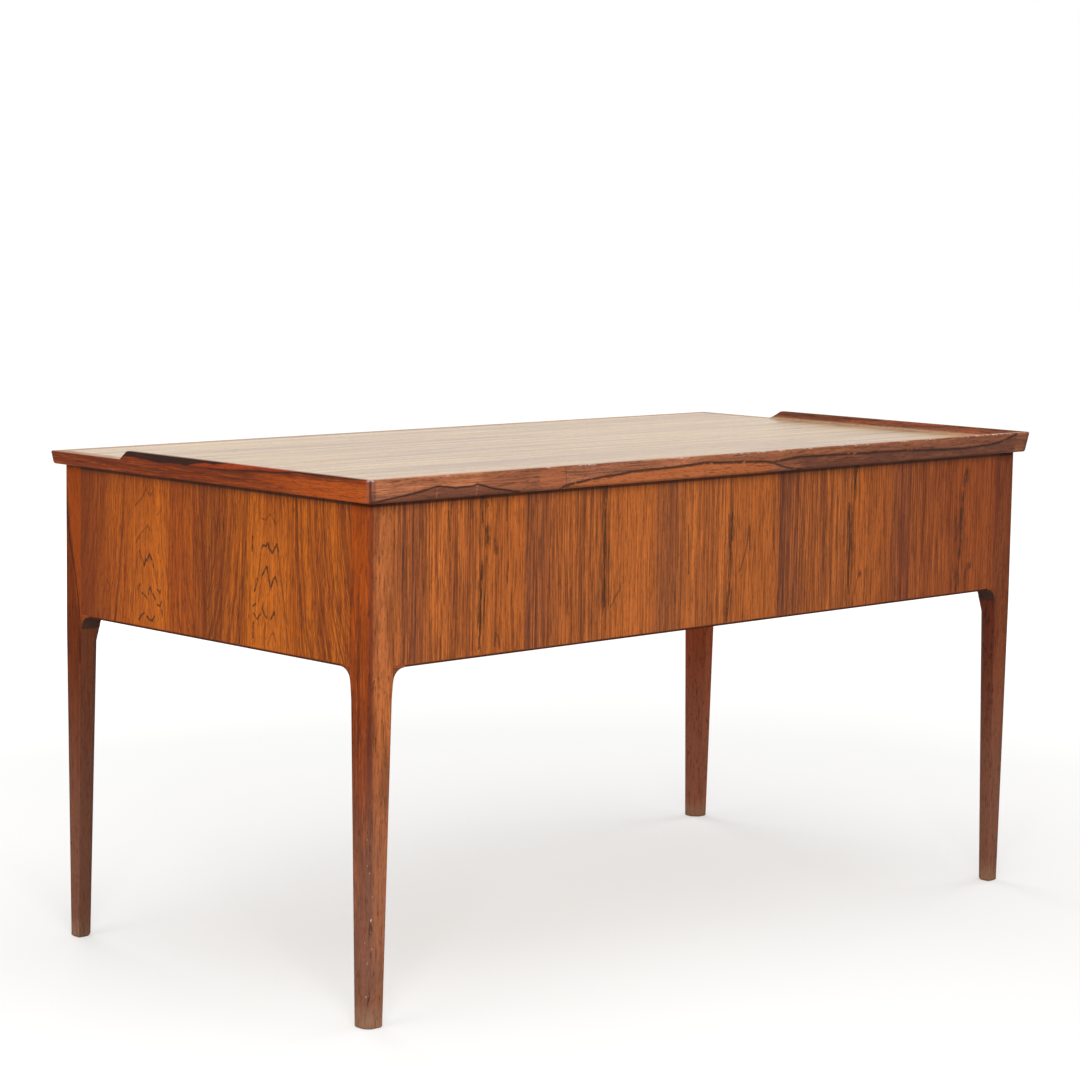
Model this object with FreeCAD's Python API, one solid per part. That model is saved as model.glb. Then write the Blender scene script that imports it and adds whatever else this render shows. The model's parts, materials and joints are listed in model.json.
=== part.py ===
import FreeCAD, Part
import math
import os

# A rosewood writing desk, in millimetres. +X is to the user's right, the drawers face -Y,
# the closed back faces +Y and the floor is z = 0. The origin is under the middle of the
# whole desk. Pieces are named left and right as the user sees them from the front.

V = FreeCAD.Vector

# Overall sizes
carcass_width = 1356.0          # over the outer faces of the posts
carcass_depth = 681.0
overall_height = 730.0          # floor to the top of the raised lip
lip_height = 13.0               # the lip above the writing surface
top_thickness = 19.0
apron_height = 219.0            # end panels and back panel, from under the top
overrun = 5.0                   # how far a cutting shape passes the piece it cuts
fit_gap = 0.3                   # clearance between a runner and its groove

# Edge moulding round the top
moulding_overhang = 12.3        # past the posts, at its underside
lip_overhang = 17.3             # past the posts, at the top of the lip
moulding_width = 22.0           # from the lip's outer edge to the writing surface
moulding_corner_radius = 5.0    # the mitred corners, seen from above
moulding_bottom_round = 4.0
moulding_top_round = 1.8
lip_inner_bevel = 1.2
lip_drop_from_front = 154.0     # from the front of the posts to the foot of the slope
lip_drop_length = 19.5
lip_drop_foot_radius = 3.0
lip_drop_top_radius = 12.0
mitre_reach = 30.0              # how far the cutting wedges pass inside the moulding
tongue_thickness = 6.0
top_tongue_length = 6.0

# Posts and the tapered legs below them
post_size = 40.0
foot_size = 27.5
foot_inset = 2.0                # the outer faces lean in by this much at the floor
post_corner_radius = 6.5
foot_corner_radius = 12.5
seam_round = 0.5                # where a post meets a panel
leg_edge_round = 3.0
post_inner_chamfer = 10.0
leg_inner_chamfer = 17.0
foot_inner_chamfer = 10.0
chamfer_run = 22.0              # height over which the inner chamfer widens
foot_ease = 1.5

# Panels, partitions and their lippings
panel_thickness = 18.0
panel_tongue_length = 8.0
panel_lipping = 3.0
partition_thickness = 18.0
partition_lipping = 6.0
partition_tongue_length = 6.0
partition_tongue_thickness = 10.0
knee_width = 540.0              # between the partitions

# Curved blocks between the legs and the panels
bracket_radius = 19.0
bracket_depth = 30.0
bracket_edge = 0.5

# Rails, bank bottoms and cleats
rail_height = 18.0
rail_depth = 60.0
rail_tenon_length = 10.0
rail_tenon_thickness = 9.0
rail_tenon_setback = 8.0        # from the rail's front edge
bank_bottom_thickness = 4.0
bank_bottom_groove = 4.0
bank_bottom_height = 6.0        # above the underside of the apron
cleat_size = 20.0

# Drawers
drawer_recess = 2.0             # fronts stand back from the front of the posts
drawer_gap = 1.5                # round each front
drawer_back_clearance = 38.0    # behind the drawers, to the back panel
centre_front_height = 80.0
front_thickness = 20.0
side_thickness = 12.0
back_thickness = 12.0
side_drop = 6.0                 # sides stop this far inside the front's height
drawer_bottom_thickness = 4.0
drawer_bottom_height = 6.0      # above the lower edge of the sides
drawer_bottom_groove = 5.0
lap_thickness = 7.0             # wood left in front of the half-blind dovetails
tails_per_corner = 3
tail_root_share = 0.44          # of the space that one tail has
tail_tip_share = 0.62

# Runners, and the grooves they run in
groove_height = 10.0
groove_depth = 6.0
groove_centre_share = 0.55      # of the side's height

# Carved pulls
pull_length = 130.0
pull_height = 20.0
pull_projection = 17.0          # at the middle of the bow
pull_end_projection = 13.0
pull_end_round = 6.0
pull_neck = 7.0                 # wood left between the finger coves
pull_cove = 10.0                # how far the coves reach out from the drawer front
pull_end_wood = 6.0             # solid wood at each end of the coves
pull_edge_break = 1.2
pull_tenon_width = 24.0
pull_tenon_height = 6.0
pull_tenon_length = 10.0
pull_tenon_spacing = 80.0

# Heights
surface_z = overall_height - lip_height
post_top_z = surface_z - top_thickness
apron_z = post_top_z - apron_height
panel_z = apron_z + panel_lipping
rail_top_z = apron_z + rail_height
top_rail_z = post_top_z - rail_height
bracket_z = apron_z - bracket_radius
chamfer_z = bracket_z - chamfer_run

# Plan places
flare = (lip_overhang - moulding_overhang) / (top_thickness + lip_height)
front_overhang = moulding_overhang + flare * top_thickness
centre_y = (front_overhang - lip_overhang) / 2
half_width = carcass_width / 2
front_y = centre_y - carcass_depth / 2
back_y = centre_y + carcass_depth / 2
post_inner_x = half_width - post_size
post_back_y = front_y + post_size
rear_post_y = back_y - post_size
end_inner_x = half_width - panel_thickness
back_inner_y = back_y - panel_thickness
knee_x = knee_width / 2
bank_x = knee_x + partition_thickness
drawer_y = front_y + drawer_recess
drawer_rear_y = back_inner_y - drawer_back_clearance
rail_back_y = drawer_y + rail_depth


def block(x0, x1, y0, y1, z0, z1):
    """A box between two corners."""
    return Part.makeBox(x1 - x0, y1 - y0, z1 - z0, V(x0, y0, z0))


def outline(points):
    """A closed polygon as a face."""
    return Part.Face(Part.makePolygon(points + points[:1]))


def mirrored(shape):
    """The same piece on the other side of the desk."""
    return shape.mirror(V(0, 0, 0), V(1, 0, 0))


def turned_end(shape):
    """The same piece moved from the back of the carcass to its front."""
    return shape.mirror(V(0, centre_y, 0), V(0, 1, 0))


def joined(pieces):
    """Several solids kept side by side in one node."""
    return pieces[0] if len(pieces) == 1 else Part.makeCompound(pieces)


def cut_by(shape, tools):
    """A piece with its neighbours' shapes taken out of it."""
    for tool in tools:
        shape = shape.cut(tool)
    return shape


# Top panel

top_edge_x = half_width + lip_overhang - moulding_width
top_front_y = front_y - lip_overhang + moulding_width
top_back_y = back_y + lip_overhang - moulding_width


def make_top_panel():
    """The veneered top with a tongue on all four sides."""
    panel = block(-top_edge_x, top_edge_x, top_front_y, top_back_y, post_top_z, surface_z)
    tongue_x = top_edge_x + top_tongue_length
    tongue_z = post_top_z + (top_thickness - tongue_thickness) / 2
    tongue = block(-tongue_x, tongue_x, top_front_y - top_tongue_length, top_back_y + top_tongue_length,
                   tongue_z, tongue_z + tongue_thickness)
    return panel.fuse(tongue).removeSplitter()


# Edge moulding

def rounded_rectangle(overhang, z):
    """The plan outline of the top at one height."""
    x = half_width + overhang
    y0 = front_y - overhang
    y1 = back_y + overhang
    r = moulding_corner_radius
    k = r * (1 - math.sqrt(0.5))
    edges = [
        Part.LineSegment(V(-x + r, y0, z), V(x - r, y0, z)),
        Part.Arc(V(x - r, y0, z), V(x - k, y0 + k, z), V(x, y0 + r, z)),
        Part.LineSegment(V(x, y0 + r, z), V(x, y1 - r, z)),
        Part.Arc(V(x, y1 - r, z), V(x - k, y1 - k, z), V(x - r, y1, z)),
        Part.LineSegment(V(x - r, y1, z), V(-x + r, y1, z)),
        Part.Arc(V(-x + r, y1, z), V(-x + k, y1 - k, z), V(-x, y1 - r, z)),
        Part.LineSegment(V(-x, y1 - r, z), V(-x, y0 + r, z)),
        Part.Arc(V(-x, y0 + r, z), V(-x + k, y0 + k, z), V(-x + r, y0, z)),
    ]
    return Part.Wire([edge.toShape() for edge in edges])


def lip_drop_cutter():
    """What is cut off the front of the lip: a straight slope to the writing surface, rounded at both ends."""
    slope = math.atan2(lip_height, lip_drop_length)
    low_y = front_y + lip_drop_from_front
    high_y = low_y + lip_drop_length
    foot_y = low_y - lip_drop_foot_radius * math.tan(slope / 2)
    top_y = high_y + lip_drop_top_radius * math.tan(slope / 2)
    x = -half_width - lip_overhang - overrun

    def on_arc(level_y, level_z, radius, angle):
        """A point of an arc that is level where it starts. A negative radius bends it the other way."""
        return V(x, level_y + radius * math.sin(angle), level_z + radius * (1 - math.cos(angle)))

    foot = [on_arc(foot_y, surface_z, lip_drop_foot_radius, turn) for turn in (0, slope / 2, slope)]
    top = [on_arc(top_y, overall_height, -lip_drop_top_radius, turn) for turn in (slope, slope / 2, 0)]
    above = V(x, top_y, overall_height + overrun)
    front_above = V(x, front_y - lip_overhang - overrun, overall_height + overrun)
    front_low = V(x, front_y - lip_overhang - overrun, surface_z)
    edges = [
        Part.LineSegment(front_low, foot[0]),
        Part.Arc(*foot),
        Part.LineSegment(foot[-1], top[0]),
        Part.Arc(*top),
        Part.LineSegment(top[-1], above),
        Part.LineSegment(above, front_above),
        Part.LineSegment(front_above, front_low),
    ]
    wire = Part.Wire([edge.toShape() for edge in edges])
    return Part.Face(wire).extrude(V(-2 * x, 0, 0))


def hollow_of_the_top():
    """The space inside the lip, with the cove that rises from the writing surface."""
    x = top_edge_x + lip_height
    y1 = top_back_y + lip_height
    y0 = front_y - lip_overhang - overrun
    space = block(-x, x, y0, y1, surface_z, overall_height + overrun)
    cove_edges = []
    for edge in space.Edges:
        middle = edge.CenterOfMass
        if middle.z < surface_z + fit_gap and middle.y > y0 + fit_gap:
            cove_edges.append(edge)
    return space.makeFillet(lip_height, cove_edges)


def lip_bevel_cutter():
    """Breaks the inner edge of the lip."""
    x = top_edge_x + lip_height
    y0 = front_y - lip_overhang - overrun
    y1 = top_back_y + lip_height
    wires = []
    for out in (0, 2 * lip_inner_bevel):
        z = overall_height - lip_inner_bevel + out
        wires.append(Part.makePolygon([V(-x - out, y0, z), V(x + out, y0, z), V(x + out, y1 + out, z),
                                       V(-x - out, y1 + out, z), V(-x - out, y0, z)]))
    return Part.makeLoft(wires, True, True)


def make_moulding_ring(top_panel):
    """The whole moulding before it is mitred into four lengths."""
    ring = Part.makeLoft([rounded_rectangle(moulding_overhang, post_top_z),
                          rounded_rectangle(lip_overhang, overall_height)], True, True)
    ring = ring.cut(lip_drop_cutter())
    under = [e for e in ring.Edges if e.BoundBox.ZMax < post_top_z + fit_gap]
    ring = ring.makeFillet(moulding_bottom_round, under)
    outer = [e for e in ring.Edges if on_the_rim(e)]
    ring = ring.makeFillet(moulding_top_round, outer)
    ring = ring.cut(hollow_of_the_top())
    ring = ring.cut(lip_bevel_cutter())
    ring = ring.cut(block(-top_edge_x, top_edge_x, top_front_y, top_back_y, post_top_z - overrun, surface_z))
    return ring.cut(top_panel)


def on_the_rim(edge):
    """True for the outer top edges, which run round at the writing surface and the lip."""
    box = edge.BoundBox
    if box.ZMin < surface_z - fit_gap:
        return False
    if box.YMin > front_y and box.YMax < back_y:
        return min(abs(box.XMin), abs(box.XMax)) > half_width
    return True


def mitre_wedges():
    """Plan wedges that share the mitre lines, one for each length of moulding."""

    def corners_at(out):
        x = half_width + out
        return [(-x, front_y - out), (x, front_y - out), (x, back_y + out), (-x, back_y + out)]

    outer = corners_at(lip_overhang + overrun)
    inner = corners_at(-mitre_reach)
    wedges = []
    for side in range(4):
        after = (side + 1) % 4
        corners = [outer[side], outer[after], inner[after], inner[side]]
        face = outline([V(x, y, post_top_z - overrun) for x, y in corners])
        wedges.append(face.extrude(V(0, 0, overall_height - post_top_z + 2 * overrun)))
    return wedges


def make_mouldings(top_panel):
    """Four mitred lengths: front, right end, back and left end."""
    ring = make_moulding_ring(top_panel)
    names = ["moulding_front", "moulding_right", "moulding_back", "moulding_left"]
    return {name: ring.common(wedge) for name, wedge in zip(names, mitre_wedges())}


# Legs

def leg_section(z, edge_round, chamfer, ease=0.0):
    """The back right leg at one height: two rounded edges, an outer round and an inner chamfer."""
    fall = 1 - z / bracket_z
    near = foot_inset * fall + ease
    far = post_size - (post_size - foot_inset - foot_size) * fall - ease
    big = post_corner_radius + (foot_corner_radius - post_corner_radius) * fall
    bend = 1 - math.sqrt(0.5)

    def place(a, b):
        return V(half_width - a, back_y - b, z)

    def corner(start, mid, end):
        return Part.Arc(place(*start), place(*mid), place(*end))

    small = edge_round
    edges = [
        Part.LineSegment(place(near + big, near), place(far - small, near)),
        corner((far - small, near), (far - small * bend, near + small * bend), (far, near + small)),
        Part.LineSegment(place(far, near + small), place(far, far - chamfer)),
        Part.LineSegment(place(far, far - chamfer), place(far - chamfer, far)),
        Part.LineSegment(place(far - chamfer, far), place(near + small, far)),
        corner((near + small, far), (near + small * bend, far - small * bend), (near, far - small)),
        Part.LineSegment(place(near, far - small), place(near, near + big)),
        corner((near, near + big), (near + big * bend, near + big * bend), (near + big, near)),
    ]
    return Part.Wire([edge.toShape() for edge in edges])


def make_leg():
    """The back right post, as a straight length, and the tapered leg below it, in one piece of wood."""
    under_post = leg_section(bracket_z, seam_round, post_inner_chamfer)
    post = Part.Face(under_post).extrude(V(0, 0, post_top_z - bracket_z))
    leg = Part.makeLoft([
        under_post,
        leg_section(chamfer_z, leg_edge_round, leg_inner_chamfer),
        leg_section(chamfer_z / 2, leg_edge_round, (leg_inner_chamfer + foot_inner_chamfer) / 2),
        leg_section(foot_ease, leg_edge_round, foot_inner_chamfer),
        leg_section(0.0, leg_edge_round, foot_inner_chamfer, foot_ease),
    ], True, True)
    return post.fuse(leg).removeSplitter()


# Panels

def make_back_panel():
    """The veneered back between the back posts, with a tongue in each post."""
    panel = block(-post_inner_x, post_inner_x, back_inner_y, back_y, panel_z, post_top_z)
    tongue_y = back_inner_y + (panel_thickness - tongue_thickness) / 2
    reach = post_inner_x + panel_tongue_length
    tongue = block(-reach, reach, tongue_y, tongue_y + tongue_thickness, panel_z, post_top_z)
    return panel.fuse(tongue).removeSplitter()


def make_end_panel():
    """The right end panel between its two posts."""
    panel = block(end_inner_x, half_width, post_back_y, rear_post_y, panel_z, post_top_z)
    tongue_x = end_inner_x + (panel_thickness - tongue_thickness) / 2
    tongue = block(tongue_x, tongue_x + tongue_thickness, post_back_y - panel_tongue_length,
                   rear_post_y + panel_tongue_length, panel_z, post_top_z)
    return panel.fuse(tongue).removeSplitter()


def make_back_lipping():
    """Solid strip under the back panel."""
    return block(-post_inner_x, post_inner_x, back_inner_y, back_y, apron_z, panel_z)


def make_end_lipping():
    """Solid strip under the right end panel."""
    return block(end_inner_x, half_width, post_back_y, rear_post_y, apron_z, panel_z)


def make_partition():
    """The upright between the knee space and the right bank, housed in the back panel."""
    body = block(knee_x, bank_x, drawer_y + partition_lipping, back_inner_y, apron_z, post_top_z)
    tongue_x = knee_x + (partition_thickness - partition_tongue_thickness) / 2
    tongue = block(tongue_x, tongue_x + partition_tongue_thickness, back_inner_y,
                   back_inner_y + partition_tongue_length, panel_z, post_top_z)
    return body.fuse(tongue).removeSplitter()


def make_partition_lipping():
    """Solid strip down the front edge of the right partition."""
    return block(knee_x, bank_x, drawer_y, drawer_y + partition_lipping, apron_z, post_top_z)


# Corner brackets

def bracket_profile(place):
    """A quarter hollow between the leg's inner face and the underside of the apron."""
    far = post_size + bracket_radius
    radius = bracket_radius - bracket_edge
    bend = radius * math.sqrt(0.5)
    top = place(post_size, apron_z)
    toe = place(post_size, bracket_z)
    start = place(far - radius, bracket_z)
    middle = place(far - bend, bracket_z + bend)
    end = place(far, bracket_z + radius)
    corner = place(far, apron_z)
    edges = [
        Part.LineSegment(top, toe),
        Part.LineSegment(toe, start),
        Part.Arc(start, middle, end),
        Part.LineSegment(end, corner),
        Part.LineSegment(corner, top),
    ]
    return Part.Face(Part.Wire([edge.toShape() for edge in edges]))


def make_brackets():
    """Eight glued blocks: one each side of every leg."""
    depth = bracket_depth - seam_round
    along_back = bracket_profile(lambda a, z: V(half_width - a, back_y - seam_round, z))
    along_end = bracket_profile(lambda a, z: V(half_width - seam_round, back_y - a, z))
    pair = [along_back.extrude(V(0, -depth, 0)), along_end.extrude(V(-depth, 0, 0))]
    right = pair + [turned_end(bracket) for bracket in pair]
    return right + [mirrored(bracket) for bracket in right]


# Rails and bank bottoms

def rail_tenons(x0, x1, z):
    """The flat tenons at a rail's ends, which stop short of the post's inner chamfer."""
    tenon_z = z + (rail_height - rail_tenon_thickness) / 2
    return block(x0 - rail_tenon_length, x1 + rail_tenon_length, drawer_y + rail_tenon_setback,
                 post_back_y - post_inner_chamfer, tenon_z, tenon_z + rail_tenon_thickness)


def make_top_rail():
    """The rail over the drawers, tenoned into both front posts."""
    rail = block(-post_inner_x, post_inner_x, drawer_y, rail_back_y, top_rail_z, post_top_z)
    return rail.fuse(rail_tenons(-post_inner_x, post_inner_x, top_rail_z)).removeSplitter()


def make_bank_rail():
    """The rail under the right bank, tenoned into the post and the partition."""
    rail = block(bank_x, post_inner_x, drawer_y, rail_back_y, apron_z, rail_top_z)
    return rail.fuse(rail_tenons(bank_x, post_inner_x, apron_z)).removeSplitter()


def make_bank_bottom(posts):
    """The thin bottom of the right bank, let into grooves all round and cut round the posts."""
    z = apron_z + bank_bottom_height
    groove = bank_bottom_groove
    sheet = block(bank_x - groove, end_inner_x + groove, rail_back_y - groove, back_inner_y + groove,
                  z, z + bank_bottom_thickness)
    return cut_by(sheet, posts)


# Cleats

def make_cleats():
    """Strips glued inside the back and both ends, under the top."""
    z = post_top_z - cleat_size
    back = block(-knee_x, knee_x, back_inner_y - cleat_size, back_inner_y, z, post_top_z)
    end = block(end_inner_x - cleat_size, end_inner_x, post_back_y, rear_post_y, z, post_top_z)
    return [back, end, mirrored(end)]


# Drawers

def side_range(z, height):
    """The lower and upper edges of a drawer's sides."""
    return z + side_drop, z + height - side_drop


def groove_middle(z, height):
    """The height of the runner groove's centre."""
    low, high = side_range(z, height)
    return low + (high - low) * groove_centre_share


def tails(x0, y_root, y_tip, low, high):
    """Dovetails on the end of a side, wider at their tips."""
    space = (high - low) / tails_per_corner
    pieces = []
    for number in range(tails_per_corner):
        middle = low + space * (number + 0.5)
        root = space * tail_root_share / 2
        tip = space * tail_tip_share / 2
        face = outline([V(x0, y_root, middle - root), V(x0, y_tip, middle - tip),
                        V(x0, y_tip, middle + tip), V(x0, y_root, middle + root)])
        pieces.append(face.extrude(V(side_thickness, 0, 0)))
    return pieces


def bowed_bar(x, z):
    """The bar of a pull before its edges are eased: flat at the back and bowed in front."""
    half = pull_length / 2
    ends_y = drawer_y - pull_end_projection
    left_back, right_back = V(x - half, drawer_y, z), V(x + half, drawer_y, z)
    left_front, right_front = V(x - half, ends_y, z), V(x + half, ends_y, z)
    edges = [
        Part.LineSegment(left_back, left_front),
        Part.Arc(left_front, V(x, drawer_y - pull_projection, z), right_front),
        Part.LineSegment(right_front, right_back),
        Part.LineSegment(right_back, left_back),
    ]
    face = Part.Face(Part.Wire([edge.toShape() for edge in edges]))
    return face.extrude(V(0, 0, pull_height))


def finger_cove(x, z, side):
    """What is scooped out of a pull above it or below it, against the drawer front."""
    half = pull_length / 2 - pull_end_wood
    radius = pull_cove / 2
    axis_z = z + side * (pull_neck / 2 + radius)
    scoop = Part.makeCylinder(radius, 2 * half, V(x - half, drawer_y - radius, axis_z), V(1, 0, 0))
    z0, z1 = sorted((axis_z, axis_z + side * pull_height))
    return scoop.fuse(block(x - half, x + half, drawer_y - pull_cove, drawer_y, z0, z1))


def pull(x, z):
    """A carved bar that bows forward, with a finger cove above and below and two flat tenons."""
    bar = bowed_bar(x, z - pull_height / 2)
    front_corners = [edge for edge in bar.Edges
                     if edge.BoundBox.YMax < drawer_y - fit_gap and edge.BoundBox.ZLength > pull_height / 2]
    bar = bar.makeFillet(pull_end_round, front_corners)
    rims = [edge for edge in bar.Edges
            if edge.BoundBox.ZLength < fit_gap and edge.BoundBox.YMin < drawer_y - fit_gap]
    bar = bar.makeChamfer(pull_edge_break, rims)
    bar = cut_by(bar, [finger_cove(x, z, 1), finger_cove(x, z, -1)])
    half_tenon = pull_tenon_width / 2
    tenon_z = z - pull_tenon_height / 2
    for middle in (x - pull_tenon_spacing / 2, x + pull_tenon_spacing / 2):
        bar = bar.fuse(block(middle - half_tenon, middle + half_tenon, drawer_y, drawer_y + pull_tenon_length,
                             tenon_z, tenon_z + pull_tenon_height))
    return bar.removeSplitter()


def make_drawer(name, x0, x1, z0, height):
    """The six pieces of one drawer that fills x0 to x1 at the height z0."""
    low, high = side_range(z0, height)
    box_y = drawer_y + front_thickness
    back_front_y = drawer_rear_y - back_thickness
    sheet_z = low + drawer_bottom_height
    sheet_top = sheet_z + drawer_bottom_thickness
    front = block(x0, x1, drawer_y, box_y, z0, z0 + height)
    back = block(x0, x1, back_front_y, drawer_rear_y, sheet_top, high)
    inset = side_thickness - drawer_bottom_groove
    sheet = block(x0 + inset, x1 - inset, box_y - drawer_bottom_groove, drawer_rear_y, sheet_z, sheet_top)
    groove_z = groove_middle(z0, height) - groove_height / 2
    groove_top = groove_z + groove_height
    sides = []
    for at_x, groove_x in ((x0, x0), (x1 - side_thickness, x1 - groove_depth)):
        front_tails = tails(at_x, box_y, drawer_y + lap_thickness, low, high)
        back_tails = tails(at_x, back_front_y, drawer_rear_y, sheet_top, high)
        side = block(at_x, at_x + side_thickness, box_y, drawer_rear_y, low, high)
        side = side.cut(block(x0, x1, back_front_y, drawer_rear_y, sheet_top, high))
        side = side.fuse(front_tails + back_tails).removeSplitter()
        side = side.cut(sheet)
        groove = block(groove_x, groove_x + groove_depth, post_back_y - fit_gap, drawer_rear_y + overrun,
                       groove_z, groove_top)
        sides.append(side.cut(groove))
        front = cut_by(front, front_tails)
        notch = block(groove_x, groove_x + groove_depth, back_front_y, drawer_rear_y, groove_z, groove_top)
        back = cut_by(back, back_tails + [notch])
    handle = pull((x0 + x1) / 2, z0 + height / 2)
    front = front.cut(sheet).cut(handle)
    return {
        name + "_front": front,
        name + "_side_left": sides[0],
        name + "_side_right": sides[1],
        name + "_back": back,
        name + "_bottom": sheet,
        name + "_pull": handle,
    }


def drawer_places():
    """Each drawer's name, left and right ends, underside and height."""
    bank_height = (top_rail_z - rail_top_z - 3 * drawer_gap) / 2
    lower_z = rail_top_z + drawer_gap
    upper_z = lower_z + bank_height + drawer_gap
    left = (-post_inner_x + drawer_gap, -bank_x - drawer_gap)
    right = (bank_x + drawer_gap, post_inner_x - drawer_gap)
    centre = (-knee_x + drawer_gap, knee_x - drawer_gap)
    centre_z = top_rail_z - drawer_gap - centre_front_height
    return [
        ("drawer_left_upper", left, upper_z, bank_height),
        ("drawer_left_lower", left, lower_z, bank_height),
        ("drawer_right_upper", right, upper_z, bank_height),
        ("drawer_right_lower", right, lower_z, bank_height),
        ("drawer_centre", centre, centre_z, centre_front_height),
    ]


def runner(x_fixed, x_groove, middle):
    """A batten from the side that carries it into the drawer's groove."""
    half = groove_height / 2 - fit_gap
    x0, x1 = sorted((x_fixed, x_groove))
    return block(x0, x1, post_back_y, rear_post_y, middle - half, middle + half)


def make_runners():
    """Two battens for each drawer, grouped by what they serve."""
    reach = drawer_gap + groove_depth - fit_gap
    groups = {}
    for name, _, z, height in drawer_places():
        middle = groove_middle(z, height)
        if name == "drawer_centre":
            one = runner(knee_x, knee_x - reach, middle)
            groups["runners_centre"] = [one, mirrored(one)]
        elif "right" in name:
            pair = [runner(end_inner_x, post_inner_x - reach, middle), runner(bank_x, bank_x + reach, middle)]
            groups.setdefault("runners_right", []).extend(pair)
            groups.setdefault("runners_left", []).extend([mirrored(piece) for piece in pair])
    return groups


def make_carcass():
    """Every fixed piece, each cut to seat on its neighbours."""
    top = make_top_panel()
    leg = make_leg()
    back_panel = make_back_panel()
    end_panel = make_end_panel()
    partition = make_partition()
    partition_strip = make_partition_lipping()
    top_rail = make_top_rail()
    bank_rail = make_bank_rail()
    posts = [leg, turned_end(leg)]
    bank_bottom = make_bank_bottom(posts)

    partition = cut_by(partition, [top_rail, bank_rail, bank_bottom])
    partition_strip = cut_by(partition_strip, [top_rail, bank_rail])
    back_panel = cut_by(back_panel, [partition, mirrored(partition), bank_bottom, mirrored(bank_bottom)])
    end_panel = cut_by(end_panel, [bank_bottom])
    bank_rail = cut_by(bank_rail, [bank_bottom])
    back_leg = cut_by(leg, [back_panel, end_panel])
    front_leg = cut_by(turned_end(leg), [end_panel, top_rail, bank_rail])

    nodes = {"top_panel": top}
    nodes.update(make_mouldings(top))
    nodes["leg_back_right"] = back_leg
    nodes["leg_back_left"] = mirrored(back_leg)
    nodes["leg_front_right"] = front_leg
    nodes["leg_front_left"] = mirrored(front_leg)
    nodes["back_panel"] = back_panel
    nodes["end_panel_right"] = end_panel
    nodes["end_panel_left"] = mirrored(end_panel)
    nodes["back_panel_lipping"] = make_back_lipping()
    nodes["end_panel_lipping_right"] = make_end_lipping()
    nodes["end_panel_lipping_left"] = mirrored(make_end_lipping())
    nodes["partition_right"] = partition
    nodes["partition_left"] = mirrored(partition)
    nodes["partition_lippings"] = joined([partition_strip, mirrored(partition_strip)])
    nodes["corner_brackets"] = joined(make_brackets())
    nodes["front_top_rail"] = top_rail
    nodes["bank_rail_right"] = bank_rail
    nodes["bank_rail_left"] = mirrored(bank_rail)
    nodes["bank_bottom_right"] = bank_bottom
    nodes["bank_bottom_left"] = mirrored(bank_bottom)
    nodes["top_cleats"] = joined(make_cleats())
    for name, battens in make_runners().items():
        nodes[name] = joined(battens)
    return nodes


def main():
    nodes = make_carcass()
    for name, ends, z, height in drawer_places():
        nodes.update(make_drawer(name, ends[0], ends[1], z, height))
    os.makedirs("parts", exist_ok=True)
    for name, shape in nodes.items():
        shape.exportStep("parts/" + name + ".step")
    print(len(nodes), "nodes")


main()
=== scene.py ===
import json
import math
import bmesh
import bpy
from mathutils import Matrix, Quaternion, Vector

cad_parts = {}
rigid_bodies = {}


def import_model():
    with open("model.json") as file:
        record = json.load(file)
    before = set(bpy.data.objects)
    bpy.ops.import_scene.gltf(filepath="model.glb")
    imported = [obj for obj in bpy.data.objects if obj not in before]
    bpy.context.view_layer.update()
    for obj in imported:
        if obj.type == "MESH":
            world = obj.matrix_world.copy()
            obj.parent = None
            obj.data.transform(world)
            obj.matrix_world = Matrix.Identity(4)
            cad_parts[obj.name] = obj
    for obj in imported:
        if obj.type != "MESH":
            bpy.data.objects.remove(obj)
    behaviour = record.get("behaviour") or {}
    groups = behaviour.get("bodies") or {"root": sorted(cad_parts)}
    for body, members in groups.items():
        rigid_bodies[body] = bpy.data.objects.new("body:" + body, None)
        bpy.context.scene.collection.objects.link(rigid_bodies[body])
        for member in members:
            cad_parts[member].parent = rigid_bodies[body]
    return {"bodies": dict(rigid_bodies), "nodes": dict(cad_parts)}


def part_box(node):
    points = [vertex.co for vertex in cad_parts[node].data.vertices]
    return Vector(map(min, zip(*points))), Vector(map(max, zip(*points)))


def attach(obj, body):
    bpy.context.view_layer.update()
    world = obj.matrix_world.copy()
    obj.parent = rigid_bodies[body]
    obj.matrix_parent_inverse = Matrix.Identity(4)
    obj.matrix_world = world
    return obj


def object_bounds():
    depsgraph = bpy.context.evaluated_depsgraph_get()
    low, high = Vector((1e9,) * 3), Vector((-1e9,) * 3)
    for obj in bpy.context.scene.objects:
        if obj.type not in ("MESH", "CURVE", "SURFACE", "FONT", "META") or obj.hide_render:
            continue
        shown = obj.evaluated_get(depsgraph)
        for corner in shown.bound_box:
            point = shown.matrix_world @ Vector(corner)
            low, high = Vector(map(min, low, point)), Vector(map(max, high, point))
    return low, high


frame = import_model()
cad_low, cad_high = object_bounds()

# The camera stands behind the desk, out from its right rear corner and a little above the top.
# It is a long lens on a full-frame body, tilted down slightly and rolled by less than a degree.
camera_place = Vector((3.19244, 3.25493, 1.10323))
camera_azimuth = math.radians(44.017)
camera_elevation = math.radians(6.665)
camera_roll = math.radians(0.854)
focal_length = 100.05
sensor_width = 36.0
farthest_view = 50.0


def add_object(name, data):
    """Puts an object in the scene."""
    item = bpy.data.objects.new(name, data)
    bpy.context.scene.collection.objects.link(item)
    return item


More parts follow.
